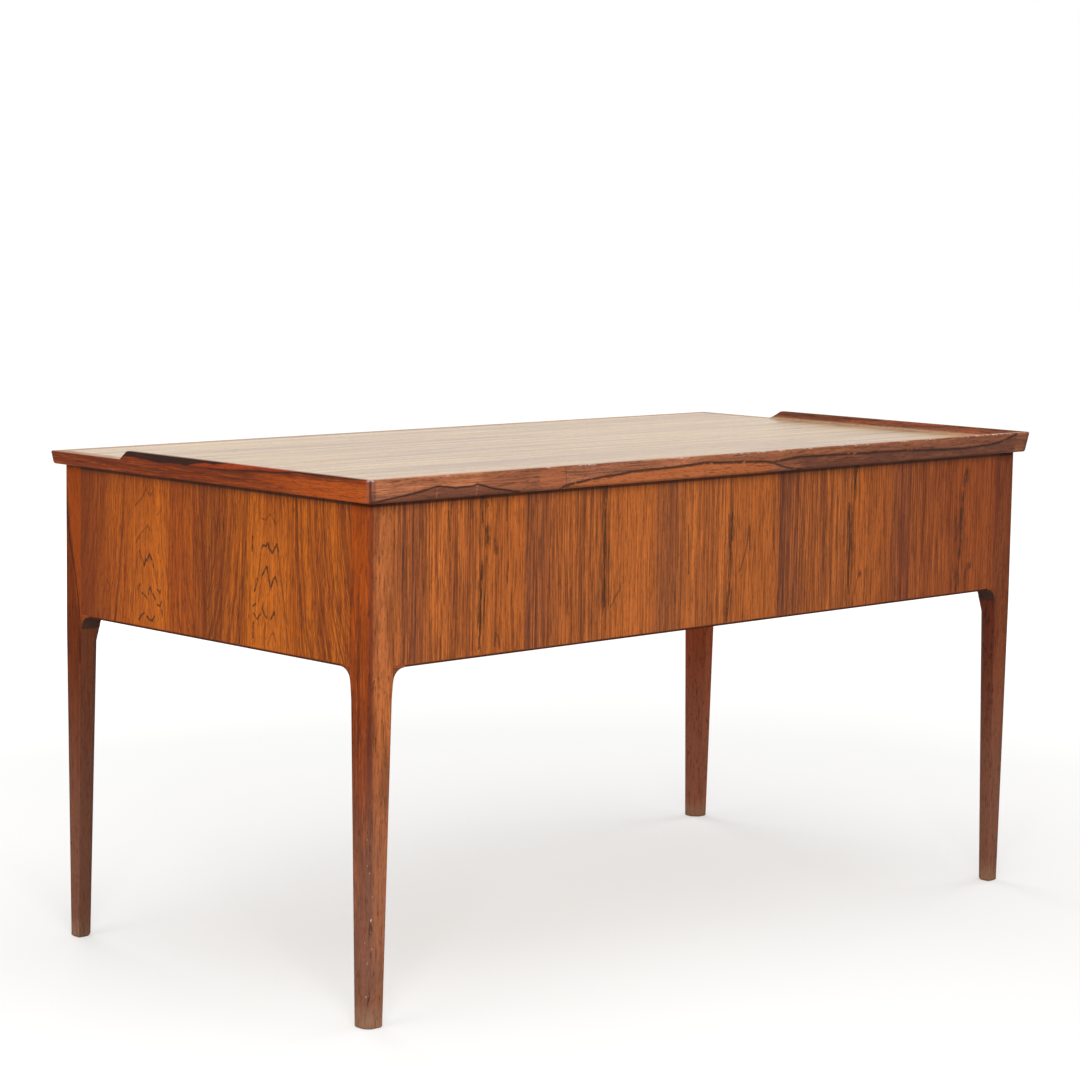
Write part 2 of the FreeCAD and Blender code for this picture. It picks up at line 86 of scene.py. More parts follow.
camera_data = bpy.data.cameras.new("camera")
camera_data.sensor_fit = "HORIZONTAL"
camera_data.sensor_width = sensor_width
camera_data.lens = focal_length
camera_data.clip_end = farthest_view
camera = add_object("camera", camera_data)
level = math.cos(camera_elevation)
sight = Vector((-math.sin(camera_azimuth) * level, -math.cos(camera_azimuth) * level,
                -math.sin(camera_elevation)))
camera.rotation_mode = "QUATERNION"
camera.rotation_quaternion = sight.to_track_quat("-Z", "Y") @ Quaternion((0, 0, 1), camera_roll)
camera.location = camera_place
bpy.context.scene.camera = camera
bpy.context.scene.view_settings.view_transform = "Standard"


# The studio: a wide pale floor under a white surround, one large soft box overhead and four lower ones round
# the desk. The floor and the surround look white to the camera and in reflections, and the floor keeps the
# soft shadow under the desk. A soft box is its place, its size and its watts.
floor_size = 40.0
floor_colour = (0.62, 0.62, 0.61, 1.0)
floor_roughness = 0.9
floor_glow = (0.36, 0.8)
glow_reach = (1.5, 5.0)
white = (1.0, 1.0, 1.0, 1.0)
surround_light = 0.4
soft_boxes = {
    "overhead_box": ((0.3, 0.5, 3.6), (4.0, 4.0), 50.0),
    "corner_box": ((2.7, 2.9, 1.9), (1.8, 1.8), 86.0),
    "right_box": ((4.4, -0.2, 2.1), (2.4, 2.0), 34.0),
    "front_box": ((-1.0, -4.4, 2.4), (2.6, 2.2), 70.0),
    "left_box": ((-4.4, 0.4, 2.2), (2.4, 2.0), 44.0),
}


def feed(node, inputs):
    """Gives a node its inputs: each is a number, a colour or another node's output."""
    for key, value in dict(inputs).items():
        if isinstance(value, bpy.types.NodeSocket):
            node.id_data.links.new(value, node.inputs[key])
        else:
            node.inputs[key].default_value = value


def put(tree, kind, inputs=(), **settings):
    """Adds a node to a tree, with its settings and its inputs."""
    node = tree.nodes.new(kind)
    for name, value in settings.items():
        setattr(node, name, value)
    feed(node, inputs)
    return node


def join(kind, inputs, **settings):
    """Adds a node to the tree that its inputs come from."""
    inputs = dict(inputs)
    tree = next(value.id_data for value in inputs.values() if isinstance(value, bpy.types.NodeSocket))
    return put(tree, kind, inputs, **settings)


def calc(operation, *values):
    """The result of one Math node."""
    return join("ShaderNodeMath", enumerate(values), operation=operation).outputs[0]


def times(first, *others):
    """The product of several values."""
    for other in others:
        first = calc("MULTIPLY", first, other)
    return first


def scaled(value, scale, shift):
    """A value times a scale, plus a shift."""
    return calc("MULTIPLY_ADD", value, scale, shift)


def new_material(name):
    """A material, its shader, and the place on the desk of each point that it colours."""
    material = bpy.data.materials.new(name)
    material.use_nodes = True
    tree = material.node_tree
    return material, tree.nodes["Principled BSDF"], put(tree, "ShaderNodeTexCoord").outputs["Object"]


def seen_as_white(tree):
    """1 for rays from the camera, in reflections and through glass, 0 for light that falls on things."""
    path = put(tree, "ShaderNodeLightPath").outputs
    seen = calc("MAXIMUM", path["Is Camera Ray"], path["Is Glossy Ray"])
    return calc("MAXIMUM", seen, path["Is Transmission Ray"])


surround = bpy.data.worlds.new("surround")
surround.use_nodes = True
sky_tree = surround.node_tree
brightness = scaled(seen_as_white(sky_tree), 1.0 - surround_light, surround_light)
feed(sky_tree.nodes["Background"], {"Color": white, "Strength": brightness})
bpy.context.scene.world = surround

floor_mesh = bmesh.new()
bmesh.ops.create_grid(floor_mesh, x_segments=1, y_segments=1, size=floor_size / 2)
floor = add_object("studio_floor", bpy.data.meshes.new("studio_floor"))
floor_mesh.to_mesh(floor.data)
floor_mesh.free()
floor_paint, floor_shader, floor_place = new_material("studio_floor")
from_desk = join("ShaderNodeVectorMath", {0: floor_place}, operation="LENGTH").outputs["Value"]
glow = join("ShaderNodeMapRange", {
    "Value": from_desk, "From Min": glow_reach[0], "From Max": glow_reach[1],
    "To Min": floor_glow[0], "To Max": floor_glow[1]}).outputs["Result"]
feed(floor_shader, {
    "Base Color": floor_colour, "Roughness": floor_roughness, "Specular IOR Level": 0.0,
    "Emission Color": white, "Emission Strength": times(seen_as_white(floor_place.id_data), glow)})
floor.data.materials.append(floor_paint)

desk_middle = (cad_low + cad_high) / 2
for box_name, (place, size, watts) in soft_boxes.items():
    lamp = bpy.data.lights.new(box_name, "AREA")
    lamp.shape = "RECTANGLE"
    lamp.size, lamp.size_y = size
    lamp.energy = watts
    soft_box = add_object(box_name, lamp)
    soft_box.location = place
    soft_box.visible_glossy = False
    soft_box.rotation_euler = (desk_middle - soft_box.location).to_track_quat("-Z", "Y").to_euler()


# The top: one wide board faced with leaves of pale, sun-bleached rosewood veneer that run the length of
# the desk, under a worn satin lacquer. The groups made here give every wood its grain and its worn edges.
top_leaf_width = 0.22
top_first_joint = 0.095
top_joint_reach = 0.0016
top_pale = (208, 172, 110)
top_brown = (156, 114, 64)
coat_roughness = 0.3
grain_depth = 0.00025
grain_wander = 0.004
wander_size = (0.06, 0.06, 0.22)
broad_band = (0.035, 0.035, 0.5)
short_pore = (0.0019, 0.0019, 0.0085)
long_pore = (0.0024, 0.0024, 0.03)
wide_line_scale = 3.5
worn_patch = (0.05, 0.05, 0.05)
origin = (0.0, 0.0, 0.0)
unset = (0.0, 0.0, 0.0, 1.0)
socket_kinds = {1: "NodeSocketFloat", 3: "NodeSocketVector", 4: "NodeSocketColor"}
quarter_turns = {"X": (0.0, math.pi / 2, 0.0), "Y": (math.pi / 2, 0.0, 0.0), "Z": origin}


def paint(red, green, blue):
    """A colour from its 0 to 255 screen values."""
    parts = [value / 255 for value in (red, green, blue)]
    linear = [part / 12.92 if part <= 0.04045 else ((part + 0.055) / 1.055) ** 2.4 for part in parts]
    return (*linear, 1.0)


def plus(first, second):
    """The sum of two values."""
    return calc("ADD", first, second)


def minus(first, second):
    """The first value less the second."""
    return calc("SUBTRACT", first, second)


def rise(value, start, end):
    """0 at the start and 1 at the end, smooth between; the start may be the larger."""
    return join("ShaderNodeMapRange", {"Value": value, "From Min": start, "From Max": end},
                interpolation_type="SMOOTHSTEP").outputs["Result"]


def near(value, centre, reach):
    """1 where a value is at the centre, falling to 0 at the reach on either side."""
    return rise(calc("ABSOLUTE", minus(value, centre)), reach, 0.0)


def blend(amount, below, above):
    """A colour between two."""
    return join("ShaderNodeMix", {0: amount, 6: below, 7: above}, data_type="RGBA").outputs[2]


def stained(colour, stains):
    """A colour under stains laid in turn. Each is the factors of how strongly it covers, then its colour."""
    for *cover, stain in stains:
        colour = blend(times(*cover), colour, paint(*stain))
    return colour


def noise(place, sizes, detail=2.0, roughness=0.5):
    """Soft noise whose lumps have the sizes given along X, Y and Z, in metres."""
    lumps = join("ShaderNodeVectorMath", {0: place, 1: sizes}, operation="DIVIDE").outputs[0]
    inputs = {"Vector": lumps, "Scale": 1.0, "Detail": detail, "Roughness": roughness}
    return join("ShaderNodeTexNoise", inputs).outputs[0]


def patches(place, sizes, start, full, detail=2.0, roughness=0.5):
    """0 where the noise is under the start and 1 where it is over the full mark."""
    return rise(noise(place, sizes, detail, roughness), start, full)


def new_group(name, inputs, outputs):
    """An empty node group: its tree, what it is given, and its end. A socket's kind follows its value."""
    group = bpy.data.node_groups.new(name, "ShaderNodeTree")
    for sockets, side in ((inputs, "INPUT"), (outputs, "OUTPUT")):
        for label, value in sockets.items():
            kind = socket_kinds[len(value) if isinstance(value, tuple) else 1]
            group.interface.new_socket(name=label, in_out=side, socket_type=kind).default_value = value
    return group, group.nodes.new("NodeGroupInput").outputs, group.nodes.new("NodeGroupOutput")


def place_group(group, inputs):
    """The outputs of a node group that is given these inputs."""
    return join("ShaderNodeGroup", inputs, node_tree=group).outputs


def make_grain():
    """Long grain along Z: lengthwise lines, broad bands, dark pores, and the height they give the surface."""
    group, given, made = new_group("long_grain", {"Place": origin, "Line Width": 0.003, "Line Length": 0.12},
                                   {"Lines": 0.0, "Broad": 0.0, "Pores": 0.0, "Height": 0.0})
    width, length = given["Line Width"], given["Line Length"]
    sway = times(minus(noise(given["Place"], wander_size), 0.5), grain_wander)
    sway = join("ShaderNodeCombineXYZ", {"X": sway, "Y": sway}).outputs[0]
    place = join("ShaderNodeVectorMath", {0: given["Place"], 1: sway}, operation="ADD").outputs[0]
    line = join("ShaderNodeCombineXYZ", {"X": width, "Y": width, "Z": length}).outputs[0]
    wide_line = join("ShaderNodeVectorMath", {0: line, "Scale": wide_line_scale},
                     operation="SCALE").outputs[0]
    fine = noise(place, line, 2.0, 0.6)
    wide = patches(place, wide_line, 0.36, 0.64, 1.0)
    lines = scaled(rise(fine, 0.36, 0.66), 0.6, times(wide, 0.4))
    short = patches(place, short_pore, 0.52, 0.7, 1.0)
    long = patches(place, long_pore, 0.58, 0.7, 1.0)
    pores = calc("MAXIMUM", times(short, 0.7), long)
    feed(made, {"Lines": lines, "Broad": patches(place, broad_band, 0.3, 0.7), "Pores": pores,
                "Height": minus(times(fine, 0.3), pores)})
    return group


def make_worn_edges():
    """Where an outer edge has lost its colour, and the surface direction with every edge slightly rounded."""
    group, given, made = new_group("worn_edges", {"Place": origin, "Width": 0.0012, "Cover": 0.35},
                                   {"Worn": 0.0, "Direction": origin})
    rounded = join("ShaderNodeBevel", {"Radius": given["Width"]}, samples=4).outputs[0]
    true_direction = put(group, "ShaderNodeNewGeometry").outputs["Normal"]
    agreement = join("ShaderNodeVectorMath", {0: rounded, 1: true_direction}, operation="DOT_PRODUCT")
    at_edge = rise(agreement.outputs["Value"], 0.995, 0.93)
    bare = noise(given["Place"], worn_patch, 5.0, 0.6)
    bare_start = minus(0.72, times(given["Cover"], 0.4))
    over_start = times(minus(bare, bare_start), 12.0)
    worn = times(at_edge, rise(over_start, 0.0, 1.0))
    feed(made, {"Worn": worn, "Direction": rounded})
    return group


long_grain = make_grain()
worn_edges = make_worn_edges()


def wood(name, along, light, dark, figure=None, pore=(66, 36, 24), worn=(196, 160, 132), cover=0.35,
         line_width=0.003, line_length=0.12, shine=(0.36, 0.5), specular=0.06, coat=0.0, pore_depth=0.45,
         edge_width=0.0012):
    """A finished wood whose length runs along one axis. A figure takes the plain colour and draws on it."""
    material, shader, here = new_material(name)
    place = join("ShaderNodeMapping", {"Vector": here, "Rotation": quarter_turns[along]}).outputs[0]
    grain = place_group(long_grain, {"Place": place, "Line Width": line_width, "Line Length": line_length})
    lines, pores = grain["Lines"], grain["Pores"]
    share = plus(times(lines, 0.75), times(grain["Broad"], 0.25))
    colour = blend(share, paint(*light), paint(*dark))
    if figure:
        colour = figure(here, colour, lines)
    edges = place_group(worn_edges, {"Place": here, "Width": edge_width, "Cover": cover})
    colour = stained(colour, ((pores, pore_depth, pore), (edges["Worn"], 0.8, worn)))
    gloss = scaled(plus(lines, pores), (shine[1] - shine[0]) / 2, shine[0])
    relief = join("ShaderNodeBump", {"Height": grain["Height"], "Distance": grain_depth, "Strength": 0.6,
                                     "Normal": edges["Direction"]}).outputs["Normal"]
    feed(shader, {
        "Base Color": colour, "Roughness": gloss, "Normal": relief, "Specular IOR Level": specular,
        "Coat Weight": coat, "Coat Roughness": coat_roughness})
    return material


def axes(here):
    """The X, Y and Z of a point on the desk, in metres."""
    return join("ShaderNodeSeparateXYZ", {0: here}).outputs


def dress(material, *nodes):
    """Gives CAD pieces their finish."""
    for name in nodes:
        for place in frame["nodes"][name].material_slots:
            place.material = material


def top_leaves(here, colour, lines):
    """Each leaf differs a little in tone from the next, and a fine dark line shows at each joint."""
    from_joint = minus(axes(here)["Y"], top_first_joint)
    leaf = calc("FLOOR", calc("DIVIDE", from_joint, top_leaf_width))
    tone = join("ShaderNodeTexWhiteNoise", {"W": leaf}, noise_dimensions="1D").outputs["Value"]
    ribbons = patches(here, (0.7, 0.03, 0.03), 0.48, 0.66, 3.0, 0.6)
    streaks = patches(here, (0.5, 0.013, 0.013), 0.54, 0.66)
    across = calc("FLOORED_MODULO", from_joint, top_leaf_width)
    joint = near(across, 0.0, top_joint_reach)
    return stained(colour, (
        (tone, 0.3, (166, 120, 74)),
        (ribbons, 0.72, (138, 96, 62)),
        (streaks, 0.62, (118, 80, 54)),
        (joint, 0.6, (110, 76, 50))))


dress(wood("bleached_top", "X", top_pale, top_brown, top_leaves, pore=(120, 84, 52), shine=(0.28, 0.4),
           specular=0.5, coat=0.4, line_width=0.005, line_length=0.35), "top_panel")


# The edge moulding: solid rosewood in four mitred lengths, moulded in one with its raised lip and oiled.
# Ink lines wander along it, with darker brown on one side, and its mitres show dark. On the long lengths the
# top edge is pale in chips, part wear and part painted glint, and painted shade darkens the underside;
# painted light and shade stand for the rounding of the back corners. An ink line is its half width, and the
# places and heights that it passes through.
moulding_foot, lip_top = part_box("moulding_back")[0].z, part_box("moulding_back")[1].z
moulding_face = lip_top - moulding_foot
mitre_x, mitre_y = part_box("moulding_back")[1].x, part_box("moulding_right")[1].y
mitre_flare = 0.18
mitre_line = (0.0017, 0.0005)
# How far from the back mitres the painted light and shade of the rounding, and the painted glint, reach.
mitre_rounding = (0.0095, 0.0045)
mitre_glint = (0.0065, 0.0035)
bleached_below = (0.7225, 0.718)
# Size of the pale marks on the top edge: part wear, part painted glint.
chip_and_glint_size = (0.007, 0.007, 0.003)
moulding_orange = (208, 128, 84)
moulding_brown = (118, 76, 64)
wedge_brown = (106, 62, 46)
ink = (40, 30, 26)
ink_fade = 0.0008
# Depth below the lip top of the pale chips and painted glints.
chip_and_glint_depth = (0.0022, 0.0008)
# Height over the foot of the painted shade along the underside.
underside_shade_height = (0.0055, 0.0015)
moulding_grain = {"line_width": 0.0018, "line_length": 0.07, "pore_depth": 0.55}
back_inks = {
    "near": (0.0026, (
        (0.691, 0.7), (0.655, 0.7045), (0.62, 0.708), (0.577, 0.716), (0.545, 0.712), (0.515, 0.7125),
        (0.506, 0.7145), (0.48, 0.708), (0.45, 0.703), (0.425, 0.699))),
    "long": (0.0038, (
        (0.35, 0.699), (0.343, 0.7025), (0.308, 0.7072), (0.274, 0.7108), (0.23, 0.7133), (0.214, 0.7155),
        (0.13, 0.7168), (0.07, 0.7197), (0.03, 0.7182), (-0.06, 0.715), (-0.08, 0.7125),
        (-0.1, 0.7148), (-0.14, 0.718), (-0.231, 0.717), (-0.381, 0.715), (-0.481, 0.712),
        (-0.53, 0.7115), (-0.591, 0.7137), (-0.615, 0.7165), (-0.64, 0.7225), (-0.66, 0.729))),
    "split": (0.0024, (
        (-0.08, 0.7125), (-0.095, 0.708), (-0.11, 0.704), (-0.13, 0.701), (-0.15, 0.699)))}
wedge_peaks = (0.577, 0.506)
dark_wood = (0.391, 0.5)
warm_wood = (0.341, 0.389)
cross_line_x, cross_line_z, cross_line_lean = 0.338, 0.7, -0.26


def line_height(run, points):
    """The height of a line drawn through points along a moulding."""
    first, last = points[0][0], points[-1][0]
    share = join("ShaderNodeMapRange", {"Value": run, "From Min": first, "From Max": last})
    node = join("ShaderNodeFloatCurve", {"Value": share.outputs["Result"]})
    bends = node.mapping.curves[0].points
    places = [((at - first) / (last - first), (z - moulding_foot) / moulding_face) for at, z in points]
    bends[0].location, bends[1].location = places[0], places[-1]
    for place in places[1:-1]:
        bends.new(*place)
    for bend in bends:
        bend.handle_type = "VECTOR"
    node.mapping.update()
    return scaled(node.outputs[0], moulding_face, moulding_foot)


def between(run, low, high, fade=0.004):
    """1 between two places along a piece."""
    return times(rise(run, low - fade, low + fade), rise(run, high + fade, high - fade))


def ragged(here, sizes, reach):
    """A small irregular shift, up to half the reach either way."""
    return times(minus(noise(here, sizes, 3.0, 0.6), 0.5), reach)


def facing(beside, axis, direction="Normal"):
    """How far the surface faces along an axis, from 1 to -1, in the same tree as another value."""
    return axes(put(beside.id_data, "ShaderNodeNewGeometry").outputs[direction])[axis]


def make_bleached_tops():
    """Faces that look up have bleached with the top: the low ones and the cove's foot most."""
    group, given, made = new_group("bleached_tops", {"Colour": unset, "Height": 0.0}, {"Colour": unset})
    up = facing(given["Height"], "Z")
    low = times(rise(up, 0.6, 0.97), rise(given["Height"], *bleached_below), 0.72)
    amount = calc("MAXIMUM", low, times(rise(up, 0.9, 0.99), 0.3))
    feed(made, {"Colour": blend(amount, given["Colour"], paint(196, 162, 128))})
    return group


def make_mitres_and_painted_light():
    """A dark line on each mitre; at the back, painted light and shade on the rounding and a painted glint."""
    group, given, made = new_group("mitres_and_painted_light", {"Colour": unset, "X": 0.0, "Y": 0.0, "Z": 0.0,
                                                      "Lit": unset, "Shaded": unset}, {"Colour": unset})
    from_x = minus(mitre_x, calc("ABSOLUTE", given["X"]))
    from_y = minus(mitre_y, calc("ABSOLUTE", given["Y"]))
    flare = times(minus(lip_top, given["Z"]), mitre_flare)
    from_corner = minus(calc("MAXIMUM", from_x, from_y), flare)
    at_back = rise(given["Y"], -0.1, 0.1)
    # Painted light on one face of the rounding, painted shade on the other, and a painted glint at the lip's
    # top.
    beside = times(rise(from_corner, *mitre_rounding), at_back, 0.55)
    rounding = blend(rise(from_x, 0.002, 0.007), given["Lit"], given["Shaded"])
    glint = times(rise(given["Z"], lip_top - 0.003, lip_top - 0.001),
                  rise(from_corner, *mitre_glint), at_back)
    line = times(rise(from_corner, *mitre_line), scaled(at_back, 0.4, 0.3))
    feed(made, {"Colour": stained(blend(beside, given["Colour"], rounding), (
        (glint, 0.6, (214, 196, 188)), (line, (58, 34, 32))))})
    return group


bleached_tops = make_bleached_tops()
mitres_and_painted_light = make_mitres_and_painted_light()


def mitred(colour, x, y, z, lit, shaded):
    """A moulding's colour with its mitres drawn, and painted light and shade at the back corners."""
    return place_group(mitres_and_painted_light, {"Colour": colour, "X": x, "Y": y, "Z": z, "Lit": paint(*lit),
                                        "Shaded": paint(*shaded)})["Colour"]


def back_moulding_figure(here, colour, lines):
    """Three ink lines, a brown wedge under two of them and brighter wood under the middle one."""
    at = axes(here)
    y, z = at["Y"], plus(at["Z"], ragged(here, (0.01, 0.01, 0.006), 0.0022))
    x = times(at["X"], calc("SIGN", y))
    inked, under = 0.0, {}
    for name, (width, points) in back_inks.items():
        reach = between(x, points[-1][0], points[0][0])
        height = minus(z, line_height(x, points))
        under[name] = times(rise(height, ink_fade, -ink_fade), reach)
        inked = calc("MAXIMUM", times(near(height, 0.0, width), reach), inked)
    lean = scaled(minus(z, cross_line_z), cross_line_lean, x)
    cross_line = times(near(lean, cross_line_x, 0.0013), 0.6)
    inked = times(calc("MAXIMUM", inked, cross_line), patches(here, (0.012,) * 3, 0.22, 0.42))
    broad = patches(here, (0.09, 0.05, 0.012), 0.45, 0.62)
    bright = times(under["long"], rise(x, -0.09, -0.07))
    patchy = scaled(patches(here, (0.05, 0.05, 0.012), 0.6, 0.48), 0.4, 0.45)
    dark = times(under["long"], rise(x, -0.07, -0.16), patchy)
    peaks = [times(near(x, peak, 0.0016), rise(z, 0.716, 0.71)) for peak in wedge_peaks]
    # Painted shade along the underside round.
    underside = rise(at["Z"], *(moulding_foot + height for height in underside_shade_height))
    # Pale chips along the top edge: part wear, part painted glint on the worn rounding.
    top_edge = rise(plus(at["Z"], ragged(here, (0.004,) * 3, 0.003)),
                    *(lip_top - depth for depth in chip_and_glint_depth))
    chips_and_glints = times(top_edge, patches(here, (0.07, 0.07, 0.05), 0.52, 0.56),
                  patches(here, chip_and_glint_size, 0.5, 0.6, 3.0))
    colour = stained(colour, (
        (broad, 0.32, (98, 56, 38)),
        (between(x, *dark_wood, 0.008), 0.45, (112, 62, 42)),
        (between(x, *warm_wood), 0.55, (168, 94, 58)),
        (rise(x, 0.1, -0.12), 0.35, (96, 52, 38)),
        (under["near"], 0.66, wedge_brown),
        (bright, 0.7, (190, 104, 52)),
        (dark, wedge_brown),
        *((peak, 0.5, (176, 112, 92)) for peak in peaks),
        (underside, 0.4, (70, 42, 34)),
        (inked, 0.92, ink),
        (chips_and_glints, 0.8, (214, 186, 172))))
    colour = place_group(bleached_tops, {"Colour": colour, "Height": at["Z"]})["Colour"]
    # The last two colours are the painted light and painted shade on the rounded back corners.
    return mitred(colour, x, y, at["Z"], (150, 92, 76), (84, 56, 50))


dress(wood("rosewood_moulding_long", "X", moulding_orange, moulding_brown, back_moulding_figure, cover=0.2,
           **moulding_grain), "moulding_back", "moulding_front")

end_orange = (150, 60, 14)
end_brown = (94, 38, 12)
near_black = (26, 15, 13)
streak_ends = (-0.186, 0.06)
band_ends = (-0.11, 0.33)
band_width = 0.0026
black_edge = (
    (-0.182, 0.718), (-0.174, 0.7225), (-0.153, 0.7223), (-0.132, 0.7212), (-0.111, 0.72),
    (-0.088, 0.719), (-0.048, 0.7205), (-0.031, 0.719), (-0.019, 0.7225), (-0.008, 0.7244),
    (0.012, 0.7262), (0.031, 0.7256), (0.048, 0.7276), (0.062, 0.73))
black_band = (
    (-0.13, 0.713), (-0.042, 0.718), (0.02, 0.7196), (0.048, 0.7201), (0.076, 0.7214), (0.1, 0.7228),
    (0.127, 0.7242), (0.154, 0.7246), (0.177, 0.7262), (0.199, 0.7278), (0.214, 0.729), (0.32, 0.7296))


def end_moulding_figure(here, colour, lines):
    """A near-black streak along the lip behind its drop, and a second one that rises to the top edge."""
    at = axes(here)
    x, y, z = at["X"], at["Y"], plus(at["Z"], ragged(here, (0.006, 0.022, 0.005), 0.003))
    far_end = calc("LESS_THAN", x, 0.0)
    over_edge = minus(z, line_height(y, black_edge))
    over_band = minus(z, line_height(y, black_band))
    streak = times(rise(over_edge, -0.001, 0.001), between(y, *streak_ends, 0.003), 0.92)
    band = times(near(over_band, 0.0, band_width), between(y, *band_ends, 0.03),
                 scaled(rise(y, -0.06, 0.1), 0.55, 0.45), 0.85)
    black = times(calc("MAXIMUM", streak, band), scaled(far_end, -0.6, 1.0))
    under_band = times(rise(over_band, -0.0075, -0.0015), rise(over_band, 0.001, -0.001),
                       between(y, 0.04, 0.3, 0.05))
    above_band = times(rise(over_band, 0.0, 0.002), rise(y, -0.06, 0.0))
    colour = stained(colour, (
        (patches(here, (0.05, 0.12, 0.008), 0.44, 0.62), 0.45, (78, 34, 18)),
        (above_band, 0.5, (156, 52, 20)),
        (rise(y, 0.06, 0.3), rise(z, 0.725, 0.719), 0.65, (188, 86, 26)),
        (under_band, 0.35, (72, 34, 20)),
        (rise(y, -0.2, -0.24), rise(z, 0.709, 0.713), 0.4, (74, 32, 18)),
        (far_end, 0.68, (136, 88, 68)),
        (patches(here, (0.0026, 0.045, 0.0018), 0.52, 0.68), 0.3, (200, 104, 44)),
        (black, near_black)))
    colour = place_group(bleached_tops, {"Colour": colour, "Height": at["Z"]})["Colour"]
    outer_strip = rise(minus(mitre_x, calc("ABSOLUTE", x)), 0.024, 0.006)
    unbleached = times(outer_strip, rise(y, -0.22, -0.34), rise(facing(here, "Z"), 0.5, 0.9))
    colour = stained(colour, ((unbleached, 0.65, (142, 84, 58)),))
    # The last two colours are the painted light and painted shade on the rounded back corners.
    return mitred(colour, x, y, at["Z"], (150, 84, 62), (84, 50, 42))


dress(wood("rosewood_moulding_end", "Y", end_orange, end_brown, end_moulding_figure, cover=0.12,
           **moulding_grain), "moulding_right", "moulding_left")


# Posts and legs: one length of solid rosewood each, square above, tapered and softly edged below the
# apron. The faces towards the ends are a deeper red-brown, and the feet have worn pale and dry. Each leg
# but the nearest has a tone and marks of its own.
back_face_tan = (196, 113, 63)
back_face_brown = (156, 88, 48)
end_face_red = (148, 67, 27)
end_face_brown = (90, 43, 24)
corner_x = (0.66, 0.671)
edge_rounding = 0.006
dry_heights = (0.46, 0.1)
nick_heights = (0.34, 0.16)
foot_heights = (0.04, 0.004)
# How far below the moulding the soft painted shade and the crisp painted shadow line reach.
shade_depths = (0.016, 0.004)
shadow_line_depths = (0.007, 0.0045)
apron_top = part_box("back_panel")[1].z
heart_line = ((-0.337, 0.646), (-0.329, 0.587), (-0.316, 0.544), (-0.309, 0.506), (-0.304, 0.467),
              (-0.305, 0.411))
heart_lean, heart_y = -0.145, -0.24


def make_painted_shade_line():
    """A crisp painted shadow line under the moulding, and softer painted shade beside it."""
    group, given, made = new_group("painted_shade_under_moulding", {"Colour": unset, "Height": 0.0}, {"Colour": unset})
    beside, line = (rise(given["Height"], *(apron_top - depth for depth in depths))
                    for depths in (shade_depths, shadow_line_depths))
    painted_shade = calc("MAXIMUM", times(beside, 0.35), times(line, 0.8))
    feed(made, {"Colour": blend(painted_shade, given["Colour"], paint(32, 18, 13))})
    return group


painted_shade_line = make_painted_shade_line()


def with_painted_shade_line(colour, z):
    """A colour with the painted shade and painted shadow line under the moulding drawn over it."""
    return place_group(painted_shade_line, {"Colour": colour, "Height": z})["Colour"]


def softened(here, radius):
    """The X, Y and Z of the surface's direction where its edges are rounded to a radius."""
    return axes(put(here.id_data, "ShaderNodeBevel", {"Radius": radius}, samples=6).outputs[0])


def outwards(direction, side):
    """A direction along an axis, counted positive away from the middle of the desk."""
    return times(direction, calc("SIGN", side))


def make_leg_colours():
    """Deeper end faces, a purple-brown corner that is a painted reflection, smoky patches, small nicks low
    down, and pale feet.
    """
    group, given, made = new_group("leg_colours", {"Place": origin, "Colour": unset, "Lines": 0.0,
                                                   "Tone": unset, "Tone Share": 0.0}, {"Colour": unset})
    here, at = given["Place"], axes(given["Place"])
    z, direction = at["Z"], softened(here, edge_rounding)
    endward = outwards(direction["X"], at["X"])
    outward = outwards(direction["Y"], at["Y"])
    inner_face = rise(outwards(facing(here, "X"), at["X"]), -0.4, -0.9)
    end_colour = blend(given["Lines"], paint(*end_face_red), paint(*end_face_brown))
    end_colour = stained(end_colour, ((rise(z, 0.4, 0.58), 0.5, (176, 80, 22)),))
    end_face = calc("MAXIMUM", rise(endward, 0.08, 0.6), inner_face)
    colour = blend(end_face, given["Colour"], end_colour)
    bright = times(patches(here, (0.005, 0.005, 0.045), 0.56, 0.68), rise(endward, 0.5, 0.9))
    # The purple-brown band on the rounded corner and beside it is a painted reflection; the nicks share its
    # mask.
    corner = times(rise(endward, 0.02, 0.4), rise(outward, 0.04, 0.6))
    beside_corner = times(rise(calc("ABSOLUTE", at["X"]), *corner_x),
                          rise(endward, 0.5, 0.1), rise(outward, 0.5, 0.9), 0.35)
    corner = calc("MAXIMUM", corner, beside_corner)
    colour = stained(colour, (
        (patches(here, (0.012, 0.012, 0.1), 0.5, 0.66, 3.0), 0.45, (84, 44, 28)),
        (patches(here, (0.0026, 0.0026, 0.03), 0.52, 0.66, 2.0, 0.6), 0.36, (70, 34, 24)),
        (bright, 0.32, (206, 100, 42)),
        (corner, 0.6, (84, 44, 36))))
    colour = blend(given["Tone Share"], colour, given["Tone"])
    dry = rise(plus(z, ragged(here, (0.03, 0.03, 0.1), 0.12)), *dry_heights)
    nicks = times(patches(here, (0.0032, 0.0032, 0.006), 0.71, 0.75, 1.0), corner, rise(z, *nick_heights))
    foot = rise(plus(z, ragged(here, (0.006, 0.006, 0.03), 0.04)), *foot_heights)
    feed(made, {"Colour": stained(colour, (
        (dry, 0.55, (140, 100, 82)),
        (patches(here, (0.0036, 0.0036, 0.016), 0.62, 0.72), 0.55, ink),
        (nicks, 0.9, (214, 196, 184)),
        (foot, 0.55, (158, 124, 98))))})
    return group


leg_colours = make_leg_colours()


